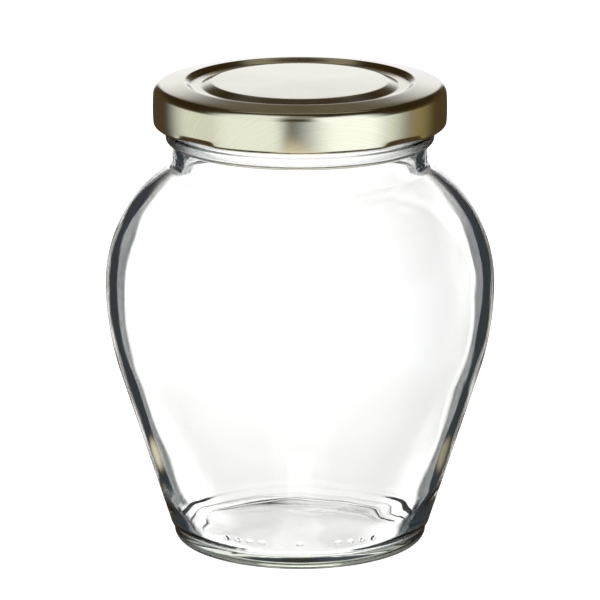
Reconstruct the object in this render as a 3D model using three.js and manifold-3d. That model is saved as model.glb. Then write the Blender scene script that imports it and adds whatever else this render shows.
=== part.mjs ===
// Preserving jar with a twist-off lug cap: a round-bellied glass jar, a pressed tinplate cap with four lugs,
// and the soft sealing ring between them. Millimetres, +Z up, origin where the jar's axis meets the surface
// it stands on.
import * as THREE from 'three';
import { mergeVertices } from 'three/addons/utils/BufferGeometryUtils.js';
import Module from 'manifold-3d';

// Cap, pressed from sheet; its crown slopes down from the groove to the shoulder, in degrees
const CAP_DIAMETER = 66.3;
const CAP_HEIGHT = 9.9;
const CAP_OVER_RIM = 1.65;
const SHEET = 0.2;
const CAP_SHOULDER = 2.2;
const CURL_DIAMETER = 1.7;
const CURL_TURN = 290;
const CROWN_WIDTH = 4.9;
const CROWN_SLOPE = 7;
const CROWN_BEND = 0.7;
const GROOVE_DEPTH = 1.1;
const GROOVE_OUTER_RUN = 1.7;
const GROOVE_FLOOR = 2;
const GROOVE_INNER_RUN = 2.6;
const GROOVE_BEND = 0.55;
const PANEL_RISE = 1;

// Lugs of the cap and thread ridges of the glass; angles in degrees
const LUG_COUNT = 4;
const LUG_FIRST_ANGLE = 45;
const LUG_WIDTH = 13.4;
const LUG_REACH = 1.1;
const LUG_PRESS_HEIGHT = 1.9;
const LUG_FOOT_SHARE = 0.5;
const THREAD_LEAD = 17;
const THREAD_CREST = 1.1;
const THREAD_FLANK = 26;
const THREAD_SPAN = 82;
const THREAD_TAIL = 20;
const THREAD_FADE = 10;

// Clearances
const THREAD_GAP = 0.35;
const LUG_GAP = 0.5;
const SEAL_GAP = 0.3;
const BOND_GAP = 0.15;
const CHANNEL_GAP = 0.35;
const BEAD_GAP = 1.45;

// Finish and neck of the jar
const FINISH_WALL = 3.35;
const RIM_ROUND = 1.1;
const BEAD_STAND = 0.8;
const BEAD_HEIGHT = 4;
const BEAD_FLANK = 1.9;
const BEAD_ROUND = 1;
const NECK_RELIEF = 0.75;
const NECK_LENGTH = 3;
const NECK_FILLET = 1.8;
const BORE_FILLET = 4;

// Body of the jar
const BELLY_DIAMETER = 88.2;
const BELLY_HEIGHT = 60;
const SHOULDER_ARC = 31.7;
const BELLY_ARC = 67;
const FOOT_DIAMETER = 57.6;
const FOOT_HEIGHT = 3.5;
const FOOT_STEP = 0.8;
const HEEL_ROUND = 2.4;
const BEARING_WIDTH = 4;
const PUSH_UP = 2.4;
const WALL = 2.4;
const BASE_THICKNESS = 3;
const FLOOR_RISE = 2;
const FLOOR_CORNER = 4;

// Mould dots: a row of small raised dots low on the front wall, their places counted in pitches from its middle
const DOT_DIAMETER = 1.4;
const DOT_RISE = 0.35;
const DOT_HEIGHT = 7;
const DOT_PITCH = 2.9;
const DOT_FRONT_ANGLE = -90;
const DOT_PLACES = [-6, -5, -4, -3, 0, 3, 4, 5, 6];

// Facets round each revolved piece
const JAR_SIDES = 52;
const CAP_SIDES = 64;
const SEAL_SIDES = 52;

const { degToRad, radToDeg, lerp, smoothstep, euclideanModulo } = THREE.MathUtils;

// Radii, from the cap inwards to the glass that it fits
const capRadius = CAP_DIAMETER / 2;
const curlInner = capRadius - CURL_DIAMETER;
const threadRadius = curlInner - THREAD_GAP;
const lugInner = threadRadius - LUG_REACH;
const finishRadius = lugInner - LUG_GAP;
const boreRadius = finishRadius - FINISH_WALL;
const neckRadius = finishRadius - NECK_RELIEF;
const beadRadius = finishRadius + BEAD_STAND;
const shoulderInner = capRadius - CAP_SHOULDER;
const crownInner = shoulderInner - CROWN_WIDTH;
const bellyRadius = BELLY_DIAMETER / 2;
const footRadius = FOOT_DIAMETER / 2;

// Heights of the closed cap, counted from the glass rim
const capTop = CAP_OVER_RIM;
const capBottom = capTop - CAP_HEIGHT;
const curlTop = capBottom + CURL_DIAMETER;
const crownSlope = degToRad(CROWN_SLOPE);
const crownHeight = (r) => capTop - (r - crownInner) * Math.tan(crownSlope);

// A hollow fillet leads from the shoulder arc into an upright wall: its centre, and where it leaves the arc
const shoulderCentre = bellyRadius - SHOULDER_ARC;
function neckFillet(arcRadius, uprightRadius, fillet) {
  const across = uprightRadius + fillet - shoulderCentre;
  const up = Math.sqrt((arcRadius + fillet) ** 2 - across ** 2);
  return { r: uprightRadius + fillet, z: BELLY_HEIGHT + up, angle: radToDeg(Math.atan2(up, across)) };
}
const outerFillet = neckFillet(SHOULDER_ARC, neckRadius, NECK_FILLET);
const innerFillet = neckFillet(SHOULDER_ARC - WALL, boreRadius, BORE_FILLET);

// The tapered wall is the straight tangent from the foot to the belly arc: its slope from upright, in radians
const bellyCentre = bellyRadius - BELLY_ARC;
const footTop = new THREE.Vector2(footRadius + FOOT_STEP, FOOT_HEIGHT + FOOT_STEP);
const fromCentre = new THREE.Vector2(footTop.x - bellyCentre, footTop.y - BELLY_HEIGHT);
const taper = -Math.atan2(fromCentre.y, fromCentre.x) - Math.acos(BELLY_ARC / fromCentre.length());

// Heights of the finish above the surface that the jar stands on
const beadBottom = outerFillet.z + NECK_LENGTH;
const beadTop = beadBottom + BEAD_HEIGHT;
const rimHeight = beadTop + BEAD_GAP - capBottom;

// Points of a circular arc in the (radius, height) plane, angles in degrees from the outward direction
function arc(r, z, radius, from, to, steps) {
  return Array.from({ length: steps + 1 }, (_, i) => {
    const angle = degToRad(lerp(from, to, i / steps));
    return new THREE.Vector2(r + radius * Math.cos(angle), z + radius * Math.sin(angle));
  });
}

// Points of a shallow dome from its edge at (radius, z) to the axis at z + rise
function dome(radius, z, rise, steps) {
  const ball = (radius ** 2 + rise ** 2) / (2 * rise);
  const edge = radToDeg(Math.asin(radius / ball));
  const points = arc(0, z + rise - ball, ball, 90 - edge, 90, steps);
  points[steps].x = 0;
  return points;
}

// A bent line whose corners are rounded; each corner is [radius from the axis, height, rounding]
function rounded(corners, steps) {
  return corners.flatMap(([r, z, round], i) => {
    const corner = new THREE.Vector2(r, z);
    if (!round) return [corner];
    const back = new THREE.Vector2(...corners[i - 1]).sub(corner);
    const ahead = new THREE.Vector2(...corners[i + 1]).sub(corner);
    const reach = Math.min(round / Math.tan(back.angleTo(ahead) / 2), back.length() / 2, ahead.length() / 2);
    const start = corner.clone().add(back.setLength(reach));
    const end = corner.clone().add(ahead.setLength(reach));
    return new THREE.QuadraticBezierCurve(start, corner, end).getPoints(steps);
  });
}

// A profile turned about Z; it runs counter-clockwise in the (radius, height) plane
function revolve(profile, sides) {
  const turned = new THREE.LatheGeometry(profile, sides).rotateX(Math.PI / 2);
  turned.deleteAttribute('normal');
  turned.deleteAttribute('uv');
  return mergeVertices(turned, 1e-4);
}

const wasm = await Module();
wasm.setup();

function solid(geometry) {
  const vertProperties = new Float32Array(geometry.attributes.position.array);
  const triVerts = new Uint32Array(geometry.index.array);
  return new wasm.Manifold(new wasm.Mesh({ numProp: 3, vertProperties, triVerts }));
}

function geometryOf(manifold) {
  const mesh = manifold.getMesh();
  const geometry = new THREE.BufferGeometry();
  geometry.setAttribute('position', new THREE.Float32BufferAttribute(mesh.vertProperties, mesh.numProp));
  geometry.setIndex(new THREE.Uint32BufferAttribute(mesh.triVerts, 1));
  return geometry;
}

// Outline of the glass from the middle of its push-up, up the outside, over the rim and down the inside to the
// axis. The inside runs parallel to the tapered wall.
function jarProfile() {
  const taperAngle = -radToDeg(taper);
  const heelCentre = footRadius - HEEL_ROUND;
  const outside = [
    ...dome(heelCentre - BEARING_WIDTH, 0, PUSH_UP, 4).reverse(),
    ...arc(heelCentre, HEEL_ROUND, HEEL_ROUND, -90, 0, 4),
    new THREE.Vector2(footRadius, FOOT_HEIGHT),
    footTop,
    ...arc(bellyCentre, BELLY_HEIGHT, BELLY_ARC, taperAngle, 0, 4),
    ...arc(shoulderCentre, BELLY_HEIGHT, SHOULDER_ARC, 0, outerFillet.angle, 8).slice(1),
    ...arc(outerFillet.r, outerFillet.z, NECK_FILLET, outerFillet.angle - 180, -180, 3).slice(1),
    ...rounded([
      [neckRadius, beadBottom],
      [beadRadius, beadBottom + BEAD_FLANK, BEAD_ROUND],
      [beadRadius, beadTop, BEAD_ROUND],
      [finishRadius, beadTop],
      [finishRadius, rimHeight, RIM_ROUND],
      [boreRadius, rimHeight, RIM_ROUND],
      [boreRadius, innerFillet.z],
    ], 2),
  ];
  const innerArc = BELLY_ARC - WALL;
  const cornerHeight = BASE_THICKNESS + FLOOR_CORNER;
  const drop = (BELLY_HEIGHT - cornerHeight) * Math.sin(taper);
  const cornerCentre = bellyCentre + (innerArc - FLOOR_CORNER - drop) / Math.cos(taper);
  const inside = [
    ...arc(innerFillet.r, innerFillet.z, BORE_FILLET, -180, innerFillet.angle - 180, 3).slice(1),
    ...arc(shoulderCentre, BELLY_HEIGHT, SHOULDER_ARC - WALL, innerFillet.angle, 0, 7).slice(1),
    ...arc(bellyCentre, BELLY_HEIGHT, innerArc, 0, taperAngle, 4).slice(1),
    ...arc(cornerCentre, cornerHeight, FLOOR_CORNER, taperAngle, -90, 4),
    ...dome(cornerCentre, BASE_THICKNESS, FLOOR_RISE, 2).slice(1),
  ];
  return [...outside, ...inside];
}

// One slanted thread ridge of the finish: a four-sided section swept along a right-hand helix, rooted in the
// wall and fading into it at both ends. The lug passes under it and over the next one with the same slack.
const lugSlack = (THREAD_LEAD / LUG_COUNT - CURL_DIAMETER - THREAD_CREST) / 2;
function threadRidge(lugAngle, steps) {
  const root = finishRadius - FINISH_WALL / 4;
  const positions = [];
  for (let i = 0; i <= steps; i += 1) {
    const along = (THREAD_SPAN * i) / steps;
    const full = Math.min(1, along / THREAD_FADE, (THREAD_SPAN - along) / THREAD_FADE);
    const crest = lerp(finishRadius - THREAD_GAP, threadRadius, full);
    const flank = (crest - root) * Math.tan(degToRad(THREAD_FLANK));
    const angle = along - THREAD_TAIL;
    const turn = degToRad(lugAngle + angle);
    const under = rimHeight + curlTop + lugSlack + (THREAD_LEAD * angle) / 360;
    const over = under + THREAD_CREST;
    [[root, under - flank], [crest, under], [crest, over], [root, over + flank]].forEach(([r, z]) => {
      positions.push(r * Math.cos(turn), r * Math.sin(turn), z);
    });
  }
  const last = 4 * steps;
  const index = [0, 1, 2, 0, 2, 3, last, last + 2, last + 1, last, last + 3, last + 2];
  for (let i = 0; i < last; i += 4) {
    for (let side = 0; side < 4; side += 1) {
      const a = i + side;
      const b = i + ((side + 1) % 4);
      index.push(a, a + 4, b, b, a + 4, b + 4);
    }
  }
  const geometry = new THREE.BufferGeometry();
  geometry.setAttribute('position', new THREE.Float32BufferAttribute(positions, 3));
  geometry.setIndex(index);
  return geometry;
}

// One mould dot: a flattened ball set half into the tapered wall
function mouldDot(place) {
  const wallRadius = footTop.x + (DOT_HEIGHT - footTop.y) * Math.tan(taper);
  const turn = degToRad(DOT_FRONT_ANGLE) + (place * DOT_PITCH) / wallRadius;
  const ball = new THREE.IcosahedronGeometry(1, 1);
  ball.deleteAttribute('normal');
  ball.deleteAttribute('uv');
  ball.scale(DOT_RISE, DOT_DIAMETER / 2, DOT_DIAMETER / 2);
  ball.rotateY(taper);
  ball.translate(wallRadius, 0, DOT_HEIGHT);
  ball.rotateZ(turn);
  return mergeVertices(ball, 1e-4);
}

const lugAngles = Array.from({ length: LUG_COUNT }, (_, i) => LUG_FIRST_ANGLE + (360 * i) / LUG_COUNT);

function jarGeometry() {
  const body = solid(revolve(jarProfile(), JAR_SIDES));
  const ridges = lugAngles.map((angle) => threadRidge(angle, 14));
  const dots = DOT_PLACES.map((place) => mouldDot(place));
  return geometryOf([...ridges, ...dots].reduce((glass, added) => glass.add(solid(added)), body));
}

// Outer face of the pressed sheet from the axis, over panel, groove, crown and skirt, to the end of the curl
function capOutline() {
  const grooveFloor = capTop - GROOVE_DEPTH;
  const grooveOuter = crownInner - GROOVE_OUTER_RUN;
  const grooveInner = grooveOuter - GROOVE_FLOOR;
  const panelTop = grooveFloor + PANEL_RISE;
  const panelRadius = grooveInner - GROOVE_INNER_RUN;
  const crownOuter = shoulderInner + CAP_SHOULDER * Math.sin(crownSlope);
  const skirtTop = crownHeight(crownOuter) - CAP_SHOULDER * Math.cos(crownSlope);
  const curlRadius = CURL_DIAMETER / 2;
  return [
    ...rounded([
      [0, panelTop],
      [panelRadius, panelTop, GROOVE_BEND],
      [grooveInner, grooveFloor, GROOVE_BEND],
      [grooveOuter, grooveFloor, GROOVE_BEND],
      [crownInner, capTop, CROWN_BEND],
      [crownOuter, crownHeight(crownOuter)],
    ], 1),
    ...arc(shoulderInner, skirtTop, CAP_SHOULDER, 90 - CROWN_SLOPE, 0, 4).slice(1),
    new THREE.Vector2(capRadius, capBottom + LUG_PRESS_HEIGHT),
    ...arc(capRadius - curlRadius, capBottom + curlRadius, curlRadius, 0, -CURL_TURN, 8),
  ];
}

// Closed section of a sheet of even thickness that lies on the inner side of its outer face
function sheetSection(outer) {
  const inner = outer.map((point, i) => {
    const before = outer[Math.max(i - 1, 0)];
    const after = outer[Math.min(i + 1, outer.length - 1)];
    const along = after.clone().sub(before).setLength(SHEET);
    return new THREE.Vector2(point.x + along.y, point.y - along.x);
  });
  inner[0].x = 0;
  return [...inner, ...outer.reverse()];
}

// The lugs are pressed inwards from the curl, drawing the foot of the skirt a share of the way with them
function pressLugs(geometry) {
  const place = geometry.attributes.position;
  const lugHalf = radToDeg(LUG_WIDTH / 2 / capRadius);
  const point = new THREE.Vector3();
  for (let i = 0; i < place.count; i += 1) {
    point.fromBufferAttribute(place, i);
    const angle = radToDeg(Math.atan2(point.y, point.x));
    const away = Math.min(...lugAngles.map((lug) => Math.abs(euclideanModulo(angle - lug + 180, 360) - 180)));
    const fromAxis = Math.hypot(point.x, point.y);
    const round = Math.max(0, 1 - (away / lugHalf) ** 2);
    const foot = LUG_FOOT_SHARE * (1 - smoothstep(point.z - capBottom, SHEET, LUG_PRESS_HEIGHT));
    const low = 1 - smoothstep(point.z, curlTop, curlTop + 2 * SHEET);
    const inCurl = low * smoothstep(capRadius - fromAxis, SHEET, CURL_DIAMETER / 2);
    const pressed = (curlInner - lugInner) * round * lerp(foot, 1, inCurl);
    const scale = 1 - pressed / Math.max(fromAxis, lugInner);
    place.setXY(i, point.x * scale, point.y * scale);
  }
  return geometry;
}

// The soft ring lies in the channel between groove and skirt. Its top follows the crown of the cap, and the
// glass rim meets its flat underside.
function sealProfile() {
  const inner = boreRadius + SHEET + CHANNEL_GAP;
  const outer = shoulderInner - SHEET - CHANNEL_GAP;
  const bond = SHEET + BOND_GAP;
  return [
    new THREE.Vector2(inner, SEAL_GAP),
    new THREE.Vector2(outer, SEAL_GAP),
    new THREE.Vector2(outer, crownHeight(outer) - bond),
    new THREE.Vector2(inner, crownHeight(inner) - bond),
    new THREE.Vector2(inner, SEAL_GAP),
  ];
}

function piece(name, geometry, finish) {
  const mesh = new THREE.Mesh(geometry, new THREE.MeshStandardMaterial(finish));
  mesh.name = name;
  return mesh;
}

const glassFinish = { color: 0xdce8e4, roughness: 0.04, metalness: 0 };
const lacquerFinish = { color: 0xcdbf8c, roughness: 0.32, metalness: 1 };
const compoundFinish = { color: 0xece7da, roughness: 0.6, metalness: 0 };

const jar = piece('glass_jar', jarGeometry(), glassFinish);
const cap = piece('lug_cap', pressLugs(revolve(sheetSection(capOutline()), CAP_SIDES)), lacquerFinish);
const seal = piece('sealing_ring', revolve(sealProfile(), SEAL_SIDES), compoundFinish);

const closure = new THREE.Group();
closure.position.z = rimHeight;
closure.add(cap, seal);

const preservingJar = new THREE.Group();
preservingJar.add(jar, closure);

export default preservingJar;
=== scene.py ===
# %% [markdown]
# # A round-bellied preserving jar with a twist-off cap
# The real object is three pieces: a glass jar that was pressed and blown in a mould, a cap pressed from
# gold-lacquered tinplate, and the soft ring inside the cap that seals the glass rim. The frame holds the
# same pieces as plain solids, which settle the sizes and the motion. Each solid is replaced here by a
# finer mesh of the same form, with the finish of the real material. Sizes are written in millimetres, as
# on a drawing, and turned to metres when a mesh is made.

# %% Load the frame
import math

import bpy
import numpy as np
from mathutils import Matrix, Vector


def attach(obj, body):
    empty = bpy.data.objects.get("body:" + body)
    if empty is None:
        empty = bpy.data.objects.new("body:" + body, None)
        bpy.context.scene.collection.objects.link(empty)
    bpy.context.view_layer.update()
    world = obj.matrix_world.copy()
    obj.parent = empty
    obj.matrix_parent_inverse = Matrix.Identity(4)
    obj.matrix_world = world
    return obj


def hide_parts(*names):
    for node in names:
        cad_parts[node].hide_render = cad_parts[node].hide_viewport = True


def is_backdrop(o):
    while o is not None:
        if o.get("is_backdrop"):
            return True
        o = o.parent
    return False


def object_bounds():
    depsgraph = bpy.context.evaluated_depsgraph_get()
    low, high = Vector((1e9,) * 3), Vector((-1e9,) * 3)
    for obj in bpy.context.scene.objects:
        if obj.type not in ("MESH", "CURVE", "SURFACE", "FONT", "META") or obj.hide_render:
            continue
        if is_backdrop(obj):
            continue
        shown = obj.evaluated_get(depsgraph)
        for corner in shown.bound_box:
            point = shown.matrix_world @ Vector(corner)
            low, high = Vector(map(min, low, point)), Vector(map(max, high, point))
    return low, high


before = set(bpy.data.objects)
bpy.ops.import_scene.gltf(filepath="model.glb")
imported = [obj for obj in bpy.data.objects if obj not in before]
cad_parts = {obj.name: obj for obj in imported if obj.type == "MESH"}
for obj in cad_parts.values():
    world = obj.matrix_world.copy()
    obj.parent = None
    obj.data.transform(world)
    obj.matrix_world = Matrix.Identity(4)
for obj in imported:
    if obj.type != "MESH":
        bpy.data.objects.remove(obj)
cad_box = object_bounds()
scene = bpy.context.scene
scene.view_settings.view_transform = "Standard"
print("box of the solids, mm:", [round(side * 1000, 1) for side in cad_box[1] - cad_box[0]])

# %% [markdown]
# The photograph was taken through a long lens, from a little above the jar: the rim of the cap looks like
# a flat ellipse and the sides hardly converge. A camera could be placed by eye, but here its distance,
# height and lens come from the ellipses of the cap and the foot, so that the outline falls on the
# photograph's outline.

# %% Camera
MILLIMETRE = 0.001
LOOK_AT = Vector((0, 0, 55.55)) * MILLIMETRE
CAMERA_DISTANCE = 1.095
CAMERA_ELEVATION = math.radians(14.4)
FOCAL_LENGTH_PIXELS = 4818
FRAME_PIXELS = 600

lens = bpy.data.cameras.new("camera")
lens.lens = lens.sensor_width * FOCAL_LENGTH_PIXELS / FRAME_PIXELS
camera = bpy.data.objects.new("camera", lens)
scene.collection.objects.link(camera)
towards_camera = Vector((0, -math.cos(CAMERA_ELEVATION), math.sin(CAMERA_ELEVATION)))
camera.location = LOOK_AT + towards_camera * CAMERA_DISTANCE
camera.rotation_euler = (-towards_camera).to_track_quat("-Z", "Y").to_euler()
scene.camera = camera
print("lens, mm:", round(lens.lens, 1))

# %% [markdown]
# All three pieces are round, so each could be a curve with a Screw modifier. Turning the outline in code
# gives more: every row and column of the mesh is known, so threads, lugs and small dots can be raised on
# it where the real piece has them. An outline is a list of points (distance from the axis, height) that
# runs anticlockwise round the section.

# %% Lines of an outline
def arc(r, z, radius, start, end, steps):
    """Points of a circular arc; angles in degrees, counted from the outward direction."""
    turn = np.radians(np.linspace(start, end, steps + 1))
    return np.stack([r + radius * np.cos(turn), z + radius * np.sin(turn)], 1)


def dome(radius, z, rise, steps):
    """A shallow dome from its edge at (radius, z) to the axis."""
    ball = (radius**2 + rise**2) / (2 * rise)
    edge = math.degrees(math.asin(radius / ball))
    points = arc(0, z + rise - ball, ball, 90 - edge, 90, steps)
    points[-1, 0] = 0
    return points


def rounded(corners, steps):
    """A bent line; each corner is (distance from the axis, height, rounding radius or 0)."""
    points = []
    for i, (r, z, radius) in enumerate(corners):
        corner = np.array([r, z])
        if not radius:
            points.append(corner)
            continue
        back = np.array(corners[i - 1][:2]) - corner
        ahead = np.array(corners[i + 1][:2]) - corner
        back_length, ahead_length = np.linalg.norm(back), np.linalg.norm(ahead)
        half = math.acos(back @ ahead / back_length / ahead_length) / 2
        reach = min(radius / math.tan(half), back_length / 2, ahead_length / 2)
        first = corner + back * reach / back_length
        last = corner + ahead * reach / ahead_length
        for t in np.linspace(0, 1, steps + 1):
            pull = 2 * math.sin(half) * t * (1 - t)
            weight = (1 - t) ** 2 + pull + t**2
            points.append(((1 - t) ** 2 * first + pull * corner + t**2 * last) / weight)
    return np.array(points)


def split(points, longest):
    """The same line with no piece of it longer than longest."""
    rows = [points[:1]]
    for start, end in zip(points[:-1], points[1:]):
        parts = max(1, math.ceil(np.linalg.norm(end - start) / longest))
        rows.append(start + (end - start) * np.linspace(0, 1, parts + 1)[1:, None])
    return np.concatenate(rows)


print("a quarter round in two steps:", arc(0, 0, 1, 0, 90, steps=2).round(2).tolist())

# %% [markdown]
# Lines are joined end to end, and three more helpers are shared by all pieces: the direction out of the
# material, an even S-shaped step for everything that fades, and the turning itself. Turning in code also
# lets the glass and the cap close on the axis with triangles, so that no face is folded there.

# %% Turning an outline into a mesh
def join(*lines):
    """Lines end to end, without the points that two neighbours share."""
    points = np.concatenate(lines)
    step = np.linalg.norm(np.diff(points, axis=0), axis=1)
    return points[np.concatenate([[True], step > 1e-6])]


def outward(outline):
    """The direction out of the material at each point of an outline."""
    along = np.gradient(outline, axis=0)
    along /= np.linalg.norm(along, axis=1, keepdims=True)
    return np.stack([along[:, 1], -along[:, 0]], 1)


def smooth(value, low, high):
    """0 below low, 1 above high, and an even S between them."""
    t = np.clip((value - low) / (high - low), 0, 1)
    return t * t * (3 - 2 * t)


def turn_piece(name, r, z, turns, closed=False):
    """A mesh whose rows follow the outline and whose columns stand at the angles in turns. r and z have a
    number for each row and column. A closed outline ends where it starts, any other one on the axis."""
    rows, columns = r.shape
    points = np.stack([r * np.cos(turns), r * np.sin(turns), z], 2).reshape(-1, 3) * MILLIMETRE
    number = np.arange(rows * columns).reshape(rows, columns)
    if closed:
        number = np.concatenate([number, number[:1]])
    else:
        number[0], number[-1] = number[0, 0], number[-1, 0]
    here, beside = number, np.roll(number, -1, 1)
    faces = np.stack([here[:-1], beside[:-1], beside[1:], here[1:]], 2).reshape(-1, 4)
    used = np.unique(faces)
    renumber = np.zeros(rows * columns, int)
    renumber[used] = np.arange(len(used))
    faces = [list(dict.fromkeys(face)) for face in renumber[faces].tolist()]
    mesh = bpy.data.meshes.new(name)
    mesh.from_pydata(points[used].tolist(), [], faces)
    mesh.shade_smooth()
    piece = bpy.data.objects.new(name, mesh)
    scene.collection.objects.link(piece)
    print(name, "has", len(mesh.polygons), "faces")
    return piece, used


# %% [markdown]
# One small function adds a node, and another turns the hex colours of the finishes, which are written as
# they look on a screen, into the linear values that the shader works with.

# %% Nodes and colours
def linear(colour):
    """A hex colour as a linear red, green, blue and alpha."""
    parts = [int(colour[i : i + 2], 16) / 255 for i in (1, 3, 5)]
    return [c / 12.92 if c <= 0.04045 else ((c + 0.055) / 1.055) ** 2.4 for c in parts] + [1]


def add(tree, kind, settings=None, links=None, **attributes):
    """A node of that kind: settings are the values of its sockets, links the outputs that feed them."""
    node = tree.nodes.new(kind)
    for key, value in attributes.items():
        setattr(node, key, value)
    for key, value in (settings or {}).items():
        node.inputs[key].default_value = value
    for key, source in (links or {}).items():
        tree.links.new(node.inputs[key], source)
    return node


def new_material(name):
    """A material without nodes, and its node tree."""
    material = bpy.data.materials.new(name)
    material.use_nodes = True
    material.node_tree.nodes.clear()
    return material, material.node_tree


print("middle grey on the screen is, in linear light:", round(linear("#808080")[0], 3))

# %% [markdown]
# The glass starts with the sizes that the cap sets: the thread ridges have to pass inside the curl of the
# cap, the wall of the finish, as the threaded top of a jar is called, stands back from the ridges, and
# the bore is one wall further in. Heights of the finish count up from the shoulder, where a small hollow
# fillet leads into the neck.

# %% Sizes of the glass
CAP_RADIUS = 33.15
CAP_HEIGHT = 9.9
CAP_TOP = 1.65
CURL_DIAMETER = 1.7
THREAD_GAP = 0.35
LUG_REACH = 1.1
LUG_GAP = 0.5
FINISH_WALL = 3.35
NECK_RELIEF = 0.75
NECK_LENGTH = 4.3
NECK_FILLET = 1.8
BORE_FILLET = 4
BEAD_STAND = 0.8
BEAD_HEIGHT = 2.7
BEAD_FLANK = 0.6
BEAD_GAP = 1.45
BELLY_RADIUS = 44.1
BELLY_HEIGHT = 60
BELLY_ARC = 67
SHOULDER_ARC = 31.7
FOOT_RADIUS = 28.8
FOOT_HEIGHT = 3.5
FOOT_STEP = 0.8
HEEL_ROUND = 2.4
BEARING_WIDTH = 4
PUSH_UP = 0.9
WALL = 2.4
BASE_THICKNESS = 3
FLOOR_RISE = 0.6
FLOOR_CORNER = 4

curl_inner = CAP_RADIUS - CURL_DIAMETER
thread_radius = curl_inner - THREAD_GAP
lug_inner = thread_radius - LUG_REACH
finish_radius = lug_inner - LUG_GAP
bore_radius = finish_radius - FINISH_WALL
neck_radius = finish_radius - NECK_RELIEF
bead_radius = finish_radius + BEAD_STAND
shoulder_centre = BELLY_RADIUS - SHOULDER_ARC
belly_centre = BELLY_RADIUS - BELLY_ARC
print("mouth of the jar, mm across:", round(2 * bore_radius, 1))

# %% [markdown]
# Two values can't be chosen freely, because lines meet there without a kink: the neck starts at the height
# where its fillet touches both the shoulder and the upright wall, and the wall above the foot has the
# slope with which it touches the arc of the belly.

# %% Heights of the neck and slope of the wall
def neck_fillet(arc_radius, upright_radius, fillet):
    """Centre of the fillet between the shoulder arc and an upright wall, and the angle where it starts."""
    across = upright_radius + fillet - shoulder_centre
    up = math.sqrt((arc_radius + fillet) ** 2 - across**2)
    return upright_radius + fillet, BELLY_HEIGHT + up, math.degrees(math.atan2(up, across))


outer_r, outer_z, outer_angle = neck_fillet(SHOULDER_ARC, neck_radius, NECK_FILLET)
inner_r, inner_z, inner_angle = neck_fillet(SHOULDER_ARC - WALL, bore_radius, BORE_FILLET)
bead_bottom = outer_z + NECK_LENGTH
bead_top = bead_bottom + BEAD_HEIGHT
rim_height = bead_top + BEAD_GAP + CAP_HEIGHT - CAP_TOP
foot_top = np.array([FOOT_RADIUS + FOOT_STEP, FOOT_HEIGHT + FOOT_STEP])
from_centre = foot_top - [belly_centre, BELLY_HEIGHT]
foot_direction = math.atan2(from_centre[1], from_centre[0])
taper = -foot_direction - math.acos(BELLY_ARC / np.linalg.norm(from_centre))
taper_angle = -math.degrees(taper)
print("rim of the glass at", round(rim_height, 2), "mm, taper", round(math.degrees(taper), 1), "degrees")

# %% [markdown]
# The outside of the glass runs from the middle of the push-up under the base, round the foot, up the
# tapered wall and the belly, over the shoulder, neck and bead to the rim. Every edge is rounded, because
# molten glass has no sharp corners, and light runs along these roundings as the fine lines of the
# photograph. Rows are closest where dots and threads are raised later.

# %% Outside of the glass
RIM_ROUND = 1.1
BEAD_ROUND = 1
SMALL_ROUND = 0.4
FOOT_ROUND = 0.5
LIP_HEIGHT = 0.2
LIP_RUN = 1
LIP_ROUND = 0.8
DOT_BAND = (5.9, 8.1)
DOT_ROW = 0.11
THREAD_ROW = 0.2
WALL_ROW = 1
PLAIN_ABOVE_BEAD = 1

heel_centre = FOOT_RADIUS - HEEL_ROUND
bearing_inner = heel_centre - BEARING_WIDTH
push_up = dome(bearing_inner - LIP_RUN, LIP_HEIGHT, PUSH_UP - LIP_HEIGHT, steps=14)[::-1]
wall_start = arc(belly_centre, BELLY_HEIGHT, BELLY_ARC, taper_angle, 0, steps=1)[0]
along_wall = (wall_start - foot_top) / (wall_start - foot_top)[1]
dots_low, dots_high = [foot_top + along_wall * (height - foot_top[1]) for height in DOT_BAND]
foot = join(
    push_up,
    rounded([(*push_up[-1], 0), (bearing_inner, 0, LIP_ROUND), (bearing_inner + LIP_RUN, 0, 0)], steps=4),
    arc(heel_centre, HEEL_ROUND, HEEL_ROUND, -90, 0, steps=14),
    rounded([(FOOT_RADIUS, HEEL_ROUND, 0), (FOOT_RADIUS, FOOT_HEIGHT, FOOT_ROUND),
             (*foot_top, FOOT_ROUND), (*dots_low, 0)], steps=5),
)
finish = join(
    rounded([(neck_radius, outer_z, 0), (neck_radius, bead_bottom, SMALL_ROUND),
             (bead_radius, bead_bottom + BEAD_FLANK, BEAD_ROUND), (bead_radius, bead_top, BEAD_ROUND),
             (finish_radius, bead_top, SMALL_ROUND),
             (finish_radius, bead_top + PLAIN_ABOVE_BEAD, 0)], steps=6),
    split(np.array([[finish_radius, bead_top + PLAIN_ABOVE_BEAD],
                    [finish_radius, rim_height - RIM_ROUND]]), THREAD_ROW),
    rounded([(finish_radius, rim_height - RIM_ROUND, 0), (finish_radius, rim_height, RIM_ROUND),
             (bore_radius, rim_height, RIM_ROUND), (bore_radius, rim_height - RIM_ROUND, 0)], steps=8),
)
outside = join(
    foot,
    split(np.array([dots_low, dots_high]), DOT_ROW),
    split(np.array([dots_high, wall_start]), WALL_ROW),
    arc(belly_centre, BELLY_HEIGHT, BELLY_ARC, taper_angle, 0, steps=20),
    arc(shoulder_centre, BELLY_HEIGHT, SHOULDER_ARC, 0, outer_angle, steps=40),
    arc(outer_r, outer_z, NECK_FILLET, outer_angle - 180, -180, steps=8),
    finish,
)
print("outside of the glass:", len(outside), "points")

# %% [markdown]
# The inside could be the outside moved in by the wall, but blown glass doesn't follow its mould so
# closely: the bore is straight, the corner of the floor is a wide round, and the floor rises a little. It
# is drawn as a line of its own, from the rim down to the middle of the floor.

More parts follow.
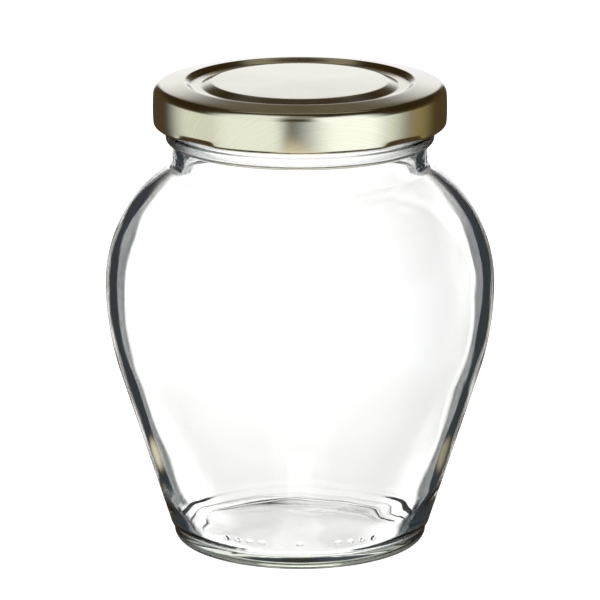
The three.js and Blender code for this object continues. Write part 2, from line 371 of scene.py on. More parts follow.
# %% Inside of the glass
inner_arc = BELLY_ARC - WALL
corner_height = BASE_THICKNESS + FLOOR_CORNER
drop = (BELLY_HEIGHT - corner_height) * math.sin(taper)
corner_centre = belly_centre + (inner_arc - FLOOR_CORNER - drop) / math.cos(taper)
inner_wall_top = arc(belly_centre, BELLY_HEIGHT, inner_arc, taper_angle, 0, steps=1)[0]
inner_wall_foot = arc(corner_centre, corner_height, FLOOR_CORNER, taper_angle, 0, steps=1)[0]
inside = join(
    split(np.array([[bore_radius, rim_height - RIM_ROUND], [bore_radius, inner_z]]), WALL_ROW),
    arc(inner_r, inner_z, BORE_FILLET, -180, inner_angle - 180, steps=8),
    arc(shoulder_centre, BELLY_HEIGHT, SHOULDER_ARC - WALL, inner_angle, 0, steps=40),
    arc(belly_centre, BELLY_HEIGHT, inner_arc, 0, taper_angle, steps=20),
    split(np.array([inner_wall_top, inner_wall_foot]), WALL_ROW),
    arc(corner_centre, corner_height, FLOOR_CORNER, taper_angle, -90, steps=14),
    dome(corner_centre, BASE_THICKNESS, FLOOR_RISE, steps=14),
)
glass_outline = join(outside, inside)
is_outside = np.arange(len(glass_outline))[:, None] < len(outside)
print("outline of the glass:", len(glass_outline), "points")

# %% [markdown]
# The wall of the finish carries four slanted thread ridges, one for each lug of the cap, which climb to
# the right. They could be separate swept bodies joined by a Boolean, but then the joins would show in
# clear glass. Here the wall itself is raised: each ridge is a flat crest with sloping flanks that runs
# along a helix and fades out at both ends.

# %% Thread ridges
LUG_ANGLES = (45, 135, 225, 315)
THREAD_LEAD = 17
THREAD_CREST = 1.1
THREAD_FLANK = math.tan(math.radians(26))
CREST_SOFTNESS = 0.1
THREAD_SPAN = (-20, 62)
THREAD_FADE = 10
curl_top = rim_height + CAP_TOP - CAP_HEIGHT + CURL_DIAMETER
lug_slack = (THREAD_LEAD / len(LUG_ANGLES) - CURL_DIAMETER - THREAD_CREST) / 2


def thread_height(turns, z):
    """How far the ridges stand out of the wall of the finish at each angle and height."""
    full = thread_radius - finish_radius
    height = np.zeros(np.broadcast(turns, z).shape)
    for lug in LUG_ANGLES:
        angle = (np.degrees(turns) - lug + 180) % 360 - 180
        middle = curl_top + lug_slack + THREAD_CREST / 2 + THREAD_LEAD * angle / 360
        ends = np.minimum(angle - THREAD_SPAN[0], THREAD_SPAN[1] - angle)
        share = smooth(ends, 0, THREAD_FADE)
        away = np.abs(z - middle) - THREAD_CREST / 2
        flank = 1 - smooth(away, -CREST_SOFTNESS, full * THREAD_FLANK)
        height = np.maximum(height, full * share * flank)
    return height


print("thread ridges stand out, mm:", round(thread_radius - finish_radius, 2))

# %% [markdown]
# Low on the front a row of small raised dots was left by the mould. And no blown wall is quite even: the
# mould chills the outside in faint waves, and the inside, which nothing touched, flows in stronger ones.
# The waves of the wall are a few thousandths of a millimetre high, and those of the floor a tenth, yet
# they make the dark edges of the glass look frayed. A bump in the material would not bend the light that
# runs inside the wall, so they are in the mesh.

# %% Dots and waves
DOT_RADIUS = 0.7
DOT_RISE = 0.35
DOT_FULLNESS = 0.75
DOT_HEIGHT = 7
DOT_PITCH = 2.9
DOT_PLACES = (-6, -5, -4, -3, 0, 3, 4, 5, 6)
FRONT = -math.pi / 2


def dot_height(turns, z):
    """How far the mould dots stand out of the tapered wall."""
    wall = foot_top[0] + (DOT_HEIGHT - foot_top[1]) * math.tan(taper)
    height = np.zeros(np.broadcast(turns, z).shape)
    for place in DOT_PLACES:
        across = ((turns - FRONT + math.pi) % (2 * math.pi) - math.pi) * wall - place * DOT_PITCH
        away = np.hypot(across, (z - DOT_HEIGHT) / math.cos(taper)) / DOT_RADIUS
        height = np.maximum(height, DOT_RISE * np.clip(1 - away**2, 0, 1) ** DOT_FULLNESS)
    return height


def waves(turns, z, seed, count, most_round, shortest, height):
    """Unevenness of a surface: waves of many directions, whole numbers of them round the piece."""
    draw = np.random.default_rng(seed)
    total = np.zeros(np.broadcast(turns, z).shape)
    for _ in range(count):
        round_piece = draw.integers(-most_round, most_round + 1)
        length = shortest / draw.uniform(0.25, 1)
        total += np.cos(round_piece * turns + 2 * math.pi * z / length + draw.uniform(0, 2 * math.pi))
    return total * height / math.sqrt(count / 2)


print(len(DOT_PLACES), "dots, mm across:", 2 * DOT_RADIUS)

# %% [markdown]
# Now the outline is turned. The columns stand closest on the front, where the dots need them, and every
# point moves out of the glass by what is raised there.

# %% Glass jar
OUTER_WAVE = 0.004
INNER_WAVE = 0.007
FLOOR_WAVE = 0.11
WAVES_START = (8, 24)
WAVES_END = (78, 87)
FLOOR_WAVES_END = (9, 16)
FLOOR_WAVES_FROM_AXIS = (6, 20)
DOTS_WITHIN = (5.5, 8.5)
THREADS_ABOVE_BEAD = 0.9
TOUCH = 0.01
FRONT_SPAN = 36
FRONT_COLUMN = 0.4
COLUMN = 2

fine_front = np.radians(np.arange(-FRONT_SPAN, FRONT_SPAN, FRONT_COLUMN)) + FRONT
coarse_rest = np.radians(np.arange(FRONT_SPAN, 360 - FRONT_SPAN, COLUMN)) + FRONT
glass_turns = np.concatenate([fine_front, coarse_rest])
r, z = glass_outline[:, :1], glass_outline[:, 1:]
out = outward(glass_outline)
out[[0, -1]] = [[0, -1], [0, 1]]

on_wall = smooth(z, *WAVES_START) * (1 - smooth(z, *WAVES_END))
on_floor = (1 - smooth(z, *FLOOR_WAVES_END)) * smooth(r, *FLOOR_WAVES_FROM_AXIS)
on_dots = is_outside & (z > DOTS_WITHIN[0]) & (z < DOTS_WITHIN[1])
on_finish = is_outside & (z > bead_top + THREADS_ABOVE_BEAD) & (z < rim_height - RIM_ROUND + TOUCH)
outer_waves = waves(glass_turns, z, seed=3, count=30, most_round=26, shortest=14, height=OUTER_WAVE)
inner_waves = waves(glass_turns, z, seed=8, count=30, most_round=22, shortest=12, height=INNER_WAVE)
floor_waves = waves(glass_turns, r / 2 + z, seed=21, count=24, most_round=7, shortest=9, height=FLOOR_WAVE)
raised = np.where(is_outside, on_wall * outer_waves, on_wall * inner_waves + on_floor * floor_waves)
raised = raised + on_dots * dot_height(glass_turns, z) + on_finish * thread_height(glass_turns, z)
glass_jar, _ = turn_piece("blown_glass_jar", r + out[:, :1] * raised, z + out[:, 1:] * raised, glass_turns)

# %% [markdown]
# Soda-lime glass, blown and fire-polished: the flame leaves the skin as smooth as a liquid, so what the
# eye sees is only refraction, with an index of 1.52, and a faint yellow-green where light runs a long way
# through the wall, from traces of iron. A tinted surface would colour thin and thick places alike, so the
# tint is in the volume. Handling leaves a faint uneven haze on the skin, drawn as patches some 20 mm
# wide, and cords, streaks of slightly different glass, run upwards. The bead and the threads were pressed
# in cold iron and are less smooth.

# %% Glass finish
GLASS_IOR = 1.52
HAZE_PATCH = 20
HAZE_ROUGHNESS = 0.008
PRESSED_ROUGHNESS = 0.2
PRESSED_EDGE = (-0.8, 0.4)
CORD_WIDTH = 5
CORD_LENGTH = 40
IRON_TINT = "#EDF2E6"
TINT_DENSITY = 30

glass, tree = new_material("soda_lime_glass_fire_polished")
place = add(tree, "ShaderNodeTexCoord").outputs["Object"]
haze = add(tree, "ShaderNodeTexNoise",
           {"Scale": 1 / (HAZE_PATCH * MILLIMETRE), "Detail": 3}, {"Vector": place})
haze_roughness = add(tree, "ShaderNodeMapRange",
                     {"From Min": 0.45, "From Max": 0.75, "To Max": HAZE_ROUGHNESS},
                     {"Value": haze.outputs["Fac"]})
height = add(tree, "ShaderNodeSeparateXYZ", links={"Vector": place})
pressed_start, pressed_end = [(bead_bottom + edge) * MILLIMETRE for edge in PRESSED_EDGE]
pressed_roughness = add(tree, "ShaderNodeMapRange",
                        {"From Min": pressed_start, "From Max": pressed_end, "To Max": PRESSED_ROUGHNESS},
                        {"Value": height.outputs["Z"]})
roughness = add(tree, "ShaderNodeMath", operation="MAXIMUM",
                links={0: haze_roughness.outputs["Result"], 1: pressed_roughness.outputs["Result"]})
cord_size = [1 / (side * MILLIMETRE) for side in (CORD_WIDTH, CORD_WIDTH, CORD_LENGTH)]
cord_place = add(tree, "ShaderNodeMapping", {"Scale": cord_size}, {"Vector": place})
cords = add(tree, "ShaderNodeTexNoise", {"Scale": 1, "Detail": 2}, {"Vector": cord_place.outputs[0]})
cord_bump = add(tree, "ShaderNodeBump",
                {"Strength": 0.05, "Distance": 0.0002}, {"Height": cords.outputs["Fac"]})
surface = add(tree, "ShaderNodeBsdfPrincipled",
              {"Base Color": (1, 1, 1, 1), "IOR": GLASS_IOR, "Transmission Weight": 1},
              {"Roughness": roughness.outputs[0], "Normal": cord_bump.outputs["Normal"]})
tint = add(tree, "ShaderNodeVolumeAbsorption", {"Color": linear(IRON_TINT), "Density": TINT_DENSITY})
add(tree, "ShaderNodeOutputMaterial", links={"Surface": surface.outputs[0], "Volume": tint.outputs[0]})
glass_jar.data.materials.append(glass)
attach(glass_jar, "jar")
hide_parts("glass_jar")
print(glass.name, "has", len(tree.nodes), "nodes")

# %% [markdown]
# The cap is one round blank of thin sheet. A press draws down the skirt, stamps a ring-shaped groove
# round the centre panel, rolls the cut edge inwards into a curl, and last pushes four stretches of the
# curl inwards as lugs. The outline follows the outer face of the sheet, and the inner face lies one
# thickness further in.

# %% Sizes of the cap
SHEET = 0.2
CAP_SHOULDER = 2.2
CURL_TURN = 290
CROWN_WIDTH = 4.9
CROWN_SLOPE = math.radians(7)
CROWN_BEND = 0.7
GROOVE_DEPTH = 1.1
GROOVE_OUTER_RUN = 1.7
GROOVE_FLOOR = 2
GROOVE_INNER_RUN = 2.6
GROOVE_BEND = 1.4
PANEL_RISE = 1
PANEL_DOME = 0.1
SKIRT_BARREL = 0.1

cap_top = rim_height + CAP_TOP
cap_bottom = cap_top - CAP_HEIGHT
curl_radius = CURL_DIAMETER / 2
shoulder_inner = CAP_RADIUS - CAP_SHOULDER
crown_inner = shoulder_inner - CROWN_WIDTH
crown_outer = shoulder_inner + CAP_SHOULDER * math.sin(CROWN_SLOPE)
crown_edge = cap_top - (crown_outer - crown_inner) * math.tan(CROWN_SLOPE)
skirt_top = crown_edge - CAP_SHOULDER * math.cos(CROWN_SLOPE)
groove_floor = cap_top - GROOVE_DEPTH
groove_outer = crown_inner - GROOVE_OUTER_RUN
groove_inner = groove_outer - GROOVE_FLOOR
panel_top = groove_floor + PANEL_RISE
panel_radius = groove_inner - GROOVE_INNER_RUN
print("centre panel of the cap, mm across:", round(2 * panel_radius, 1))

# %% [markdown]
# Sheet springs back a little after the press, so the panel is slightly domed and the skirt slightly
# barrelled, each by a tenth of a millimetre. A flat panel would be simpler, but it would mirror a soft
# box with a straight, hard edge.

# %% Outline of the cap
PANEL_ROW = 1
SKIRT_ROW = 0.3
panel_and_crown = rounded([
    (0, panel_top, 0), (panel_radius, panel_top, GROOVE_BEND), (groove_inner, groove_floor, GROOVE_BEND),
    (groove_outer, groove_floor, GROOVE_BEND), (crown_inner, cap_top, CROWN_BEND),
    (crown_outer, crown_edge, 0)], steps=6)
cap_outline = join(
    split(panel_and_crown, PANEL_ROW),
    arc(shoulder_inner, skirt_top, CAP_SHOULDER, 90 - math.degrees(CROWN_SLOPE), 0, steps=16),
    split(np.array([[CAP_RADIUS, skirt_top], [CAP_RADIUS, cap_bottom + curl_radius]]), SKIRT_ROW),
    arc(CAP_RADIUS - curl_radius, cap_bottom + curl_radius, curl_radius, 0, -CURL_TURN, steps=26),
)
on_panel = cap_outline[:, 1] > panel_top - TOUCH
in_panel = np.clip(1 - (cap_outline[:, 0] / panel_radius) ** 2, 0, 1) * on_panel
skirt_middle = (skirt_top + cap_bottom + curl_radius) / 2
in_skirt = np.clip(1 - ((cap_outline[:, 1] - skirt_middle) / (skirt_top - skirt_middle)) ** 2, 0, 1)
cap_outline[:, 1] += PANEL_DOME * in_panel
cap_outline[:, 0] += SKIRT_BARREL * (in_skirt - 1) * (cap_outline[:, 0] > shoulder_inner)
sheet_inner = cap_outline + outward(cap_outline) * SHEET
sheet_inner[0, 0] = 0
cap_section = np.concatenate([sheet_inner, cap_outline[::-1]])
print("outline of the cap:", len(cap_section), "points")

# %% [markdown]
# A lug is a stretch of the curl that was pushed inwards, and the foot of the skirt follows it half way,
# which shows as a shallow dent above each lug. The push is strongest in the middle of a lug and dies away
# along a parabola.

# %% Cap with pressed lugs
LUG_WIDTH = 13.4
LUG_PRESS_HEIGHT = 1.9
LUG_FOOT_SHARE = 0.5
CAP_COLUMN = 1.25
cap_turns = np.radians(np.arange(0, 360, CAP_COLUMN))
r, z = cap_section[:, :1], cap_section[:, 1:]
from_lug = np.min([np.abs((np.degrees(cap_turns) - lug + 180) % 360 - 180) for lug in LUG_ANGLES], axis=0)
lug_share = np.clip(1 - (from_lug / math.degrees(LUG_WIDTH / 2 / CAP_RADIUS)) ** 2, 0, 1)
skirt_foot = LUG_FOOT_SHARE * (1 - smooth(z - cap_bottom, SHEET, LUG_PRESS_HEIGHT))
in_curl = smooth(CAP_RADIUS - r, SHEET, curl_radius) * (1 - smooth(z, curl_top, curl_top + 2 * SHEET))
lug_in = (curl_inner - lug_inner) * lug_share * (skirt_foot + (1 - skirt_foot) * in_curl)
cap, cap_used = turn_piece("pressed_lug_cap", r - lug_in, z + 0 * lug_in, cap_turns)

# %% [markdown]
# Gold-lacquered tinplate: rolled steel with a skin of tin, under a thin clear gold lacquer. The rolls
# leave fine straight lines in the sheet. They run across the flat blank, so on the finished cap they lie
# straight over the panel, level along the front of the skirt and upright at its sides. A pattern in space
# can't do this, so each point of the mesh keeps the place it had on the flat blank, and the lines are
# drawn there.

# %% Place of each point on the flat blank
ROLLING_ANGLE = math.radians(12)
drawn = np.concatenate([[0], np.cumsum(np.linalg.norm(np.diff(cap_outline, axis=0), axis=1))])
drawn = np.concatenate([drawn, drawn[::-1]])[:, None]
along_rolling = drawn * np.cos(cap_turns - ROLLING_ANGLE)
across_rolling = drawn * np.sin(cap_turns - ROLLING_ANGLE)
blank = np.stack([along_rolling, across_rolling, 0 * along_rolling], 2).reshape(-1, 3)[cap_used]
on_blank = cap.data.attributes.new("place_on_blank", "FLOAT_VECTOR", "POINT")
on_blank.data.foreach_set("vector", blank.astype(np.float32).ravel())
print("diameter of the blank, mm:", round(2 * float(drawn.max()), 1))

# %% [markdown]
# The lacquer could be a coloured coat over grey steel, but the export keeps a metal's base colour better,
# so the gold is the colour of the metal and a clear coat gives the lacquer's second, softer gleam. Real
# rolling lines are some 0.05 mm apart, too fine for the picture, and are drawn 0.25 mm apart. They change
# the colour slightly and raise a faint bump, and patches some 18 mm wide make the gleam uneven.

# %% Tinplate finish
LINE_SPACING = 0.25
LINE_LENGTH = 20
PATCH = 18
GOLD_DARK = "#D8D0AC"
GOLD_LIGHT = "#E1DABA"
TIN_ROUGHNESS = (0.15, 0.21)
LACQUER_ROUGHNESS = 0.12

tinplate, tree = new_material("gold_lacquered_tinplate_rolled")
place = add(tree, "ShaderNodeAttribute", attribute_name="place_on_blank").outputs["Vector"]
line_place = add(tree, "ShaderNodeMapping",
                 {"Scale": (1 / LINE_LENGTH, 1 / LINE_SPACING, 1)}, {"Vector": place})
lines = add(tree, "ShaderNodeTexNoise", {"Scale": 1, "Detail": 4, "Roughness": 0.6},
            {"Vector": line_place.outputs[0]})
patches = add(tree, "ShaderNodeTexNoise", {"Scale": 1 / PATCH, "Detail": 2}, {"Vector": place})
gold = add(tree, "ShaderNodeValToRGB", links={"Fac": lines.outputs["Fac"]})
gold.color_ramp.elements[0].color = linear(GOLD_DARK)
gold.color_ramp.elements[0].position = 0.3
gold.color_ramp.elements[1].color = linear(GOLD_LIGHT)
gold.color_ramp.elements[1].position = 0.7
uneven = add(tree, "ShaderNodeMapRange",
             {"From Min": 0.3, "From Max": 0.7, "To Min": TIN_ROUGHNESS[0], "To Max": TIN_ROUGHNESS[1]},
             {"Value": patches.outputs["Fac"]})
line_bump = add(tree, "ShaderNodeBump",
                {"Strength": 0.15, "Distance": 0.00003}, {"Height": lines.outputs["Fac"]})
surface = add(tree, "ShaderNodeBsdfPrincipled",
              {"Metallic": 1, "Coat Weight": 1, "Coat Roughness": LACQUER_ROUGHNESS},
              {"Base Color": gold.outputs["Color"], "Roughness": uneven.outputs["Result"],
               "Normal": line_bump.outputs["Normal"]})
add(tree, "ShaderNodeOutputMaterial", links={"Surface": surface.outputs[0]})
cap.data.materials.append(tinplate)
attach(cap, "cap")
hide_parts("lug_cap")
print(tinplate.name, "has", len(tree.nodes), "nodes")

# %% [markdown]
# The sealing ring is a soft compound that is run into the cap as a paste and baked there. It fills the
# channel between the groove and the skirt, and the glass rim leaves a shallow track in its underside. It
# could be a plain torus, but its section follows the channel, so it is turned from an outline like the
# other pieces.

# %% Sealing ring
SEAL_GAP = 0.3
SEAL_CLEARANCE = 0.15
CHANNEL_GAP = 0.35
SEAL_ROUND = 0.15
SEAL_INNER_ROUND = 0.2
SEAL_ROW = 0.25
SEAL_COLUMN = 2
TRACK_DEPTH = 0.12
TRACK_EDGE = (0.4, 1.1)
PASTE_WAVE = 0.01
BOTTOM_FACE = 0.05

seal_inner = bore_radius + SHEET + CHANNEL_GAP
seal_outer = shoulder_inner - SHEET - CHANNEL_GAP
seal_bottom = rim_height + SEAL_GAP
seal_inner_top, seal_outer_top = [
    cap_top - (edge - crown_inner) * math.tan(CROWN_SLOPE) - SHEET - SEAL_CLEARANCE
    for edge in (seal_inner, seal_outer)]
seal_section = rounded([
    (seal_inner, seal_bottom, 0), (seal_outer, seal_bottom, SEAL_ROUND),
    (seal_outer, seal_outer_top, SEAL_ROUND), (seal_inner, seal_inner_top, SEAL_INNER_ROUND),
    (seal_inner, seal_bottom + SEAL_INNER_ROUND, 0)], steps=4)
seal_outline = split(seal_section, SEAL_ROW)
seal_turns = np.radians(np.arange(0, 360, SEAL_COLUMN))
r, z = seal_outline[:, :1], seal_outline[:, 1:]
rim_middle = (bore_radius + finish_radius) / 2
track = TRACK_DEPTH * (1 - smooth(np.abs(r - rim_middle), *TRACK_EDGE)) * (z < seal_bottom + BOTTOM_FACE)
paste = waves(seal_turns, z, seed=5, count=8, most_round=9, shortest=4, height=PASTE_WAVE)
sunk = np.abs(paste * (z > seal_bottom + BOTTOM_FACE))
ring_z = z + track - sunk
ring, _ = turn_piece("sealing_compound_ring", r + 0 * seal_turns, ring_z, seal_turns, closed=True)

# %% [markdown]
# Flowed-in sealing compound, a soft vinyl: off-white and matt, with the faint orange-peel skin of a paste
# that was baked. Its skin is drawn as small noise, 0.6 mm across, in both the colour and the bump.

# %% Sealing compound finish
SKIN_GRAIN = 0.6
VINYL_IOR = 1.53
VINYL_ROUGHNESS = 0.5
VINYL_SHADE = "#DDD6C6"
VINYL_LIGHT = "#EDE8DB"

compound, tree = new_material("soft_vinyl_compound_flowed_in")
place = add(tree, "ShaderNodeTexCoord").outputs["Object"]
grain = add(tree, "ShaderNodeTexNoise",
            {"Scale": 1 / (SKIN_GRAIN * MILLIMETRE), "Detail": 3}, {"Vector": place})
off_white = add(tree, "ShaderNodeValToRGB", links={"Fac": grain.outputs["Fac"]})
off_white.color_ramp.elements[0].color = linear(VINYL_SHADE)
off_white.color_ramp.elements[1].color = linear(VINYL_LIGHT)
skin = add(tree, "ShaderNodeBump",
           {"Strength": 0.3, "Distance": 0.00005}, {"Height": grain.outputs["Fac"]})
surface = add(tree, "ShaderNodeBsdfPrincipled", {"Roughness": VINYL_ROUGHNESS, "IOR": VINYL_IOR},
              {"Base Color": off_white.outputs["Color"], "Normal": skin.outputs["Normal"]})
add(tree, "ShaderNodeOutputMaterial", links={"Surface": surface.outputs[0]})
ring.data.materials.append(compound)
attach(ring, "seal")
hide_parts("sealing_ring")
print(compound.name, "has", len(tree.nodes), "nodes")

# %% [markdown]
# Clear glass on white can only be seen by its edges, so it is lit as photographers light it: a white
# board of limited width stands behind it and everything beside the board is dark. The middle of the jar
# shows the board, and the edges, which bend the light sideways, show the dark. Each light could be a
# separate lamp, but here the whole set is a round shell about the jar, brighter where a board or a soft
# box stands. One shell is seen through the glass and one is mirrored by the surfaces, so that each can be
# set by itself. They turn with the camera, as if the jar stood on a turntable before a fixed set.

# %% The set that turns with the camera
SET_HEIGHT = 80
the_set = bpy.data.objects.new("studio_set", None)
the_set.location = (0, 0, SET_HEIGHT * MILLIMETRE)
scene.collection.objects.link(the_set)
follow = the_set.constraints.new("COPY_ROTATION")
follow.target = camera
follow.use_x = follow.use_y = False


def shine_by_vertex(piece, glow, through_glass):
    """Lets a board of the set shine with a colour at each point, through the glass or as a reflection."""
    colour = piece.data.attributes.new("glow", "FLOAT_COLOR", "POINT")
    rgba = np.concatenate([glow, np.ones((len(glow), 1))], 1)
    colour.data.foreach_set("color", rgba.astype(np.float32).ravel())
    material, tree = new_material(piece.name)
    source = add(tree, "ShaderNodeAttribute", attribute_name="glow")
    light = add(tree, "ShaderNodeEmission", links={"Color": source.outputs["Color"]})
    add(tree, "ShaderNodeOutputMaterial", links={"Surface": light.outputs[0]})
    material.cycles.emission_sampling = "NONE"
    piece.data.materials.append(material)
    piece.parent = the_set
    piece.visible_camera = piece.visible_diffuse = piece.visible_shadow = False
    piece.visible_transmission = through_glass
    piece.visible_glossy = not through_glass
    piece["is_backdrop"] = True


print("the set stands at, mm:", SET_HEIGHT)

# %% [markdown]
# A light in a shell has a place and a strength. Its place is four marks to the right of the camera, in
# degrees, and four above the horizon: it fades in from the first mark to the second and out from the
# third to the fourth. Behind the jar is 180, the right 90 and the left -90. Where two lights overlap, the
# brighter one shows.

# %% A shell of lights
SET_RADIUS = 2000
SET_STEP = 2
sideways = np.arange(0, 360, SET_STEP)
upwards = np.arange(-90, 91, SET_STEP)[:, None]


def fade(value, marks):
    """0 before the first mark, 1 between the second and the third, and 0 again after the fourth."""
    return smooth(value, marks[0], marks[1]) * (1 - smooth(value, marks[2], marks[3]))


def patch(right, up):
    """How much of a light is seen in each direction of the set."""
    middle = (right[0] + right[3]) / 2
    return fade((sideways - middle + 180) % 360 - 180 + middle, right) * fade(upwards, up)


def light_shell(name, dark, lights, through_glass):
    """A shell that shines in its dark colour, and brighter where a light stands."""
    glow = np.zeros((len(upwards), len(sideways), 3)) + linear(dark)[:3]
    for right, up, strength, colour in lights.values():
        glow = np.maximum(glow, patch(right, up)[:, :, None] * strength * np.array(linear(colour)[:3]))
    rise = np.radians(upwards)
    far = SET_RADIUS * np.cos(rise) + 0 * sideways
    high = SET_RADIUS * np.sin(rise) + 0 * sideways
    shell, used = turn_piece(name, far, high, np.radians(sideways - 90))
    shine_by_vertex(shell, glow.reshape(-1, 3)[used], through_glass)
    print(name, "has", len(lights), "lights")


# %% [markdown]
# Through the glass three things are seen: the narrow white board behind the jar, a grey wall above it,
# without which the glass would be black in a view from below, and the white ceiling.

# %% Lights seen through the glass
ALL_ROUND = (-400, -360, 360, 400)
WHITE = "#FFFFFF"
DARK_ROOM = "#343E4A"
light_shell("surroundings_through_glass", DARK_ROOM, {
    "white board behind": ((166, 169, 191, 194), (-200, -100, 2, 10), 1.9, WHITE),
    "grey wall above the board": ((110, 135, 225, 250), (5, 14, 60, 100), 0.45, WHITE),
    "ceiling": (ALL_ROUND, (12, 60, 100, 120), 1.1, WHITE),
}, True)

# %% [markdown]
# The cap mirrors another set. Its flat panel shows a board behind the jar, its skirt the soft boxes left
# and right of the camera with a dark gap between them, and the bends of the crown and the groove run
# through everything else, so small weak lights there draw the fine lines along them. The gold of the
# lacquer warms what it mirrors, so most lights are a cool white.

# %% Lights mirrored by the cap and the glass
BEHIND = (165, 171, 189, 195)
BEHIND_WIDE = (160, 170, 190, 200)
BEFORE = (-30, -20, 20, 30)
AT_SKIRT = (-34, -26, 6, 14)
COOL_WHITE = "#F4F4FA"
SOFT_BOX = "#F0F7FF"
LEFT_BOX = "#E9F1FF"
RIGHT_BOX = "#E2EBFF"
WARM_WALL = "#4D3F2B"
WARM_GLOW = "#F4DFA6"
BROWN_ROOM = "#332613"
light_shell("surroundings_mirrored", BROWN_ROOM, {
    "warm walls": (ALL_ROUND, (-70, -50, 10, 40), 1, WARM_WALL),
    "foot of the board, for the back edge": ((171, 175, 185, 189), (-16, -10, 8, 12), 1.12, COOL_WHITE),
    "middle of the board, for the groove": ((165, 169, 191, 195), (-11, -7, 8, 12), 1.12, COOL_WHITE),
    "bright part of the board, for the panel": (BEHIND, (7, 11, 11.5, 21), 1.3, COOL_WHITE),
    "top of the board": (BEHIND, (7, 11, 17, 24), 0.95, COOL_WHITE),
    "glow on the front of the crown": (BEHIND_WIDE, (23, 27, 31, 35), 0.14, WARM_GLOW),
    "line along the crown": (BEHIND_WIDE, (34, 38, 44, 48), 0.25, WHITE),
    "high light, for a view from above": ((120, 150, 210, 240), (57, 61, 68, 74), 0.4, "#FBF3E2"),
    "left soft box": ((-132, -98, -20, -4), AT_SKIRT, 1.0, SOFT_BOX),
    "left soft box, middle": ((-110, -55, -20, -4), AT_SKIRT, 1.35, LEFT_BOX),
    "left soft box, upper part": ((-85, -60, -24, -10), (-10, 0, 60, 85), 1.3, LEFT_BOX),
    "right soft box, middle": ((-14, 30, 54, 96), AT_SKIRT, 1.75, RIGHT_BOX),
    "right soft box": ((-14, 30, 64, 108), AT_SKIRT, 1.15, SOFT_BOX),
    "right wall": ((0, 20, 100, 140), AT_SKIRT, 0.36, WARM_GLOW),
    "right soft box, upper part": ((4, 20, 50, 80), (-10, 0, 45, 65), 1.75, RIGHT_BOX),
    "pale table in front": (BEFORE, (-60, -50, -22, -6), 1.0, "#F4F0E6"),
    "dark gap by the camera": (BEFORE, (-30, -20, 10, 20), 0.2, "#F4E8C0"),
    "above the camera": (BEFORE, (35, 45, 70, 85), 0.3, WHITE),
}, False)

# %% [markdown]
# The jar stands on a strip of white paper that widens away from the camera and ends in a dark table. Low
# on the jar the dark edges of the glass show that table, so the edge of the paper is what shapes them. A
# plain white sheet would leave the foot without a line.

# %% Shape and brightness of the paper
PAPER_MARKS = (-40, -25, -12, 0, 50, 105, 160, 250, 400, 900, 2000)
PAPER_HALF = (6, 12, 22, 24, 43, 70, 87, 98, 121, 210, 430)
WHITE_MARKS = (0, 20, 45, 130)
PAPER_WHITE = (1.15, 1.08, 1.08, 1.3)
PAPER_EDGE_WHITE = 1.9
EDGE_WHITE_FROM = (0.5, 0.95)
EDGE_FADE = (0.96, 1.06)
RIGHT_SHADE = 0.15
RIGHT_SHADE_AT = (0, 60)
PAPER_REACH = 600
FINE_REACH = 160
FINE_STEP = 2
COARSE_STEP = 20
PAPER_FRONT = -60
FINE_BACK = 240
PAPER_BACK = 1990
FINE_LENGTH = 3
COARSE_LENGTH = 25

paper_across = np.concatenate([
    np.arange(-PAPER_REACH, -FINE_REACH, COARSE_STEP),
    np.arange(-FINE_REACH, FINE_REACH + 1, FINE_STEP),
    np.arange(FINE_REACH + COARSE_STEP, PAPER_REACH + 1, COARSE_STEP)])
paper_along = np.concatenate([
    np.arange(PAPER_FRONT, FINE_BACK, FINE_LENGTH),
    np.arange(FINE_BACK, PAPER_BACK + 1, COARSE_LENGTH)])[:, None]
aside = np.abs(paper_across) / np.interp(paper_along, PAPER_MARKS, PAPER_HALF)
middle_white = np.interp(paper_along, WHITE_MARKS, PAPER_WHITE)
paper_white = middle_white + (PAPER_EDGE_WHITE - middle_white) * smooth(aside, *EDGE_WHITE_FROM)
right_side = 1 - RIGHT_SHADE * smooth(paper_across, *RIGHT_SHADE_AT)
brightness = paper_white * (1 - smooth(aside, *EDGE_FADE)) * right_side
print("paper, points along and across:", brightness.shape)

# %% [markdown]
# Two cream cards lie beside the foot and give the warm glints near it. Paper, table and cards are one
# flat mesh with a colour at each point, just under the floor. Only rays that come through the glass see
# it: the camera sees the floor instead, and the shadow falls there.

# %% Paper, dark table and cream cards
PAPER_DEPTH = 0.5
DARK_TABLE = "#2B3B44"
CARD_CREAM = "#F3EBCB"
CARD_ACROSS = 56
CARD_ALONG = 34
CARD_HALF = (8, 14)
CARD_FADE = (0.5, 1.2)
CARD_LEFT = 1
CARD_RIGHT = 0.45

number = np.arange(brightness.size).reshape(brightness.shape)
corners = np.stack([number[:-1, :-1], number[:-1, 1:], number[1:, 1:], number[1:, :-1]], 2).reshape(-1, 4)
below = 0 * brightness - SET_HEIGHT - PAPER_DEPTH
places = np.stack([paper_across + below * 0, paper_along + below * 0, below], 2).reshape(-1, 3)
strip_mesh = bpy.data.meshes.new("paper_strip")
strip_mesh.from_pydata((places * MILLIMETRE).tolist(), [], corners.tolist())
strip = bpy.data.objects.new("paper_strip", strip_mesh)
scene.collection.objects.link(strip)
across_card = (np.abs(paper_across) - CARD_ACROSS) / CARD_HALF[0]
along_card = (paper_along - CARD_ALONG) / CARD_HALF[1]
from_card = np.hypot(across_card, along_card)
card_share = (1 - smooth(from_card, *CARD_FADE)) * np.where(paper_across < 0, CARD_LEFT, CARD_RIGHT)
cream = card_share.reshape(-1, 1) * np.array(linear(CARD_CREAM)[:3])
table_and_cards = np.maximum(np.array(linear(DARK_TABLE)[:3]), cream)
glow = np.maximum(table_and_cards, brightness.reshape(-1, 1) * np.ones(3))
shine_by_vertex(strip, glow, True)
print("paper strip has", len(strip_mesh.polygons), "faces")

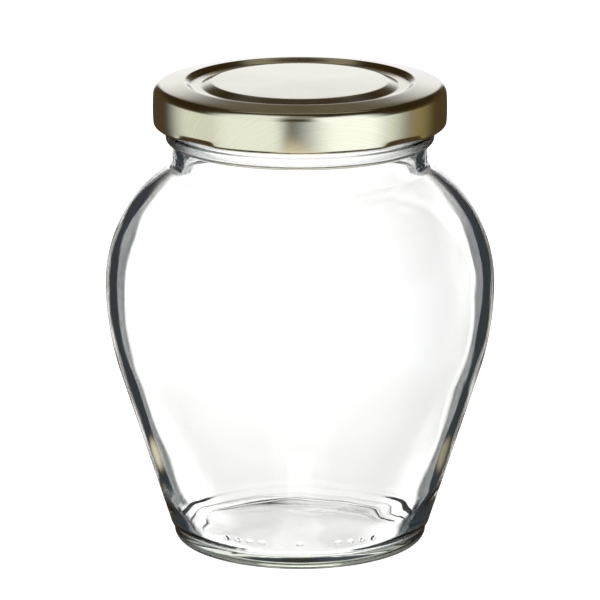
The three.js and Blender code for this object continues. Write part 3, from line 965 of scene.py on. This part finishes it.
# %% [markdown]
# The floor is a plain pale sheet. It has to stay white in the picture without more light on the jar, so
# its own material shines for the camera alone, and a share of ordinary diffuse white keeps the jar's
# shadow. Seen from below it is clear, so that the foot can be looked at.

# %% Floor
FLOOR_SIZE = 6
FLOOR_WHITE = "#E6E6E6"
FLOOR_SHINE = 0.9
half = FLOOR_SIZE / 2
floor_mesh = bpy.data.meshes.new("pale_floor")
floor_corners = [(-half, -half, 0), (half, -half, 0), (half, half, 0), (-half, half, 0)]
floor_mesh.from_pydata(floor_corners, [], [(0, 1, 2, 3)])
floor = bpy.data.objects.new("pale_floor", floor_mesh)
scene.collection.objects.link(floor)
paper, tree = new_material("matt_white_paper")
diffuse = add(tree, "ShaderNodeBsdfDiffuse", {"Color": linear(FLOOR_WHITE)})
shine = add(tree, "ShaderNodeEmission", {"Strength": FLOOR_SHINE})
lit = add(tree, "ShaderNodeAddShader", links={0: diffuse.outputs[0], 1: shine.outputs[0]})
rays = add(tree, "ShaderNodeLightPath")
seen = add(tree, "ShaderNodeMixShader",
           links={0: rays.outputs["Is Camera Ray"], 1: diffuse.outputs[0], 2: lit.outputs[0]})
side = add(tree, "ShaderNodeNewGeometry")
clear = add(tree, "ShaderNodeBsdfTransparent")
sheet_side = add(tree, "ShaderNodeMixShader",
                 links={0: side.outputs["Backfacing"], 1: seen.outputs[0], 2: clear.outputs[0]})
add(tree, "ShaderNodeOutputMaterial", links={"Surface": sheet_side.outputs[0]})
floor_mesh.materials.append(paper)
floor.visible_glossy = floor.visible_transmission = False
floor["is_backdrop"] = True
print("floor, m across:", FLOOR_SIZE)

# %% [markdown]
# The world lights the matt surfaces evenly, like a room of pale walls, and is white to the camera, so
# that the picture has no edge where the floor ends.

# %% Even studio light
EVEN_LIGHT = "#E6E6E6"
world = bpy.data.worlds.new("even_studio_light")
scene.world = world
world.use_nodes = True
tree = world.node_tree
tree.nodes.clear()
rays = add(tree, "ShaderNodeLightPath")
even = add(tree, "ShaderNodeBackground", {"Color": linear(EVEN_LIGHT)})
white = add(tree, "ShaderNodeBackground", {"Color": linear(WHITE)})
around = add(tree, "ShaderNodeMixShader",
             links={0: rays.outputs["Is Camera Ray"], 1: even.outputs[0], 2: white.outputs[0]})
add(tree, "ShaderNodeOutputWorld", links={"Surface": around.outputs[0]})

# %% [markdown]
# Last, the box of the dressed jar is set beside the box of the solids.

# %% Sizes and finish
visual_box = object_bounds()
grown = (visual_box[1] - visual_box[0]) - (cad_box[1] - cad_box[0])
print("grown by, mm:", [round(side * 1000, 2) for side in grown])
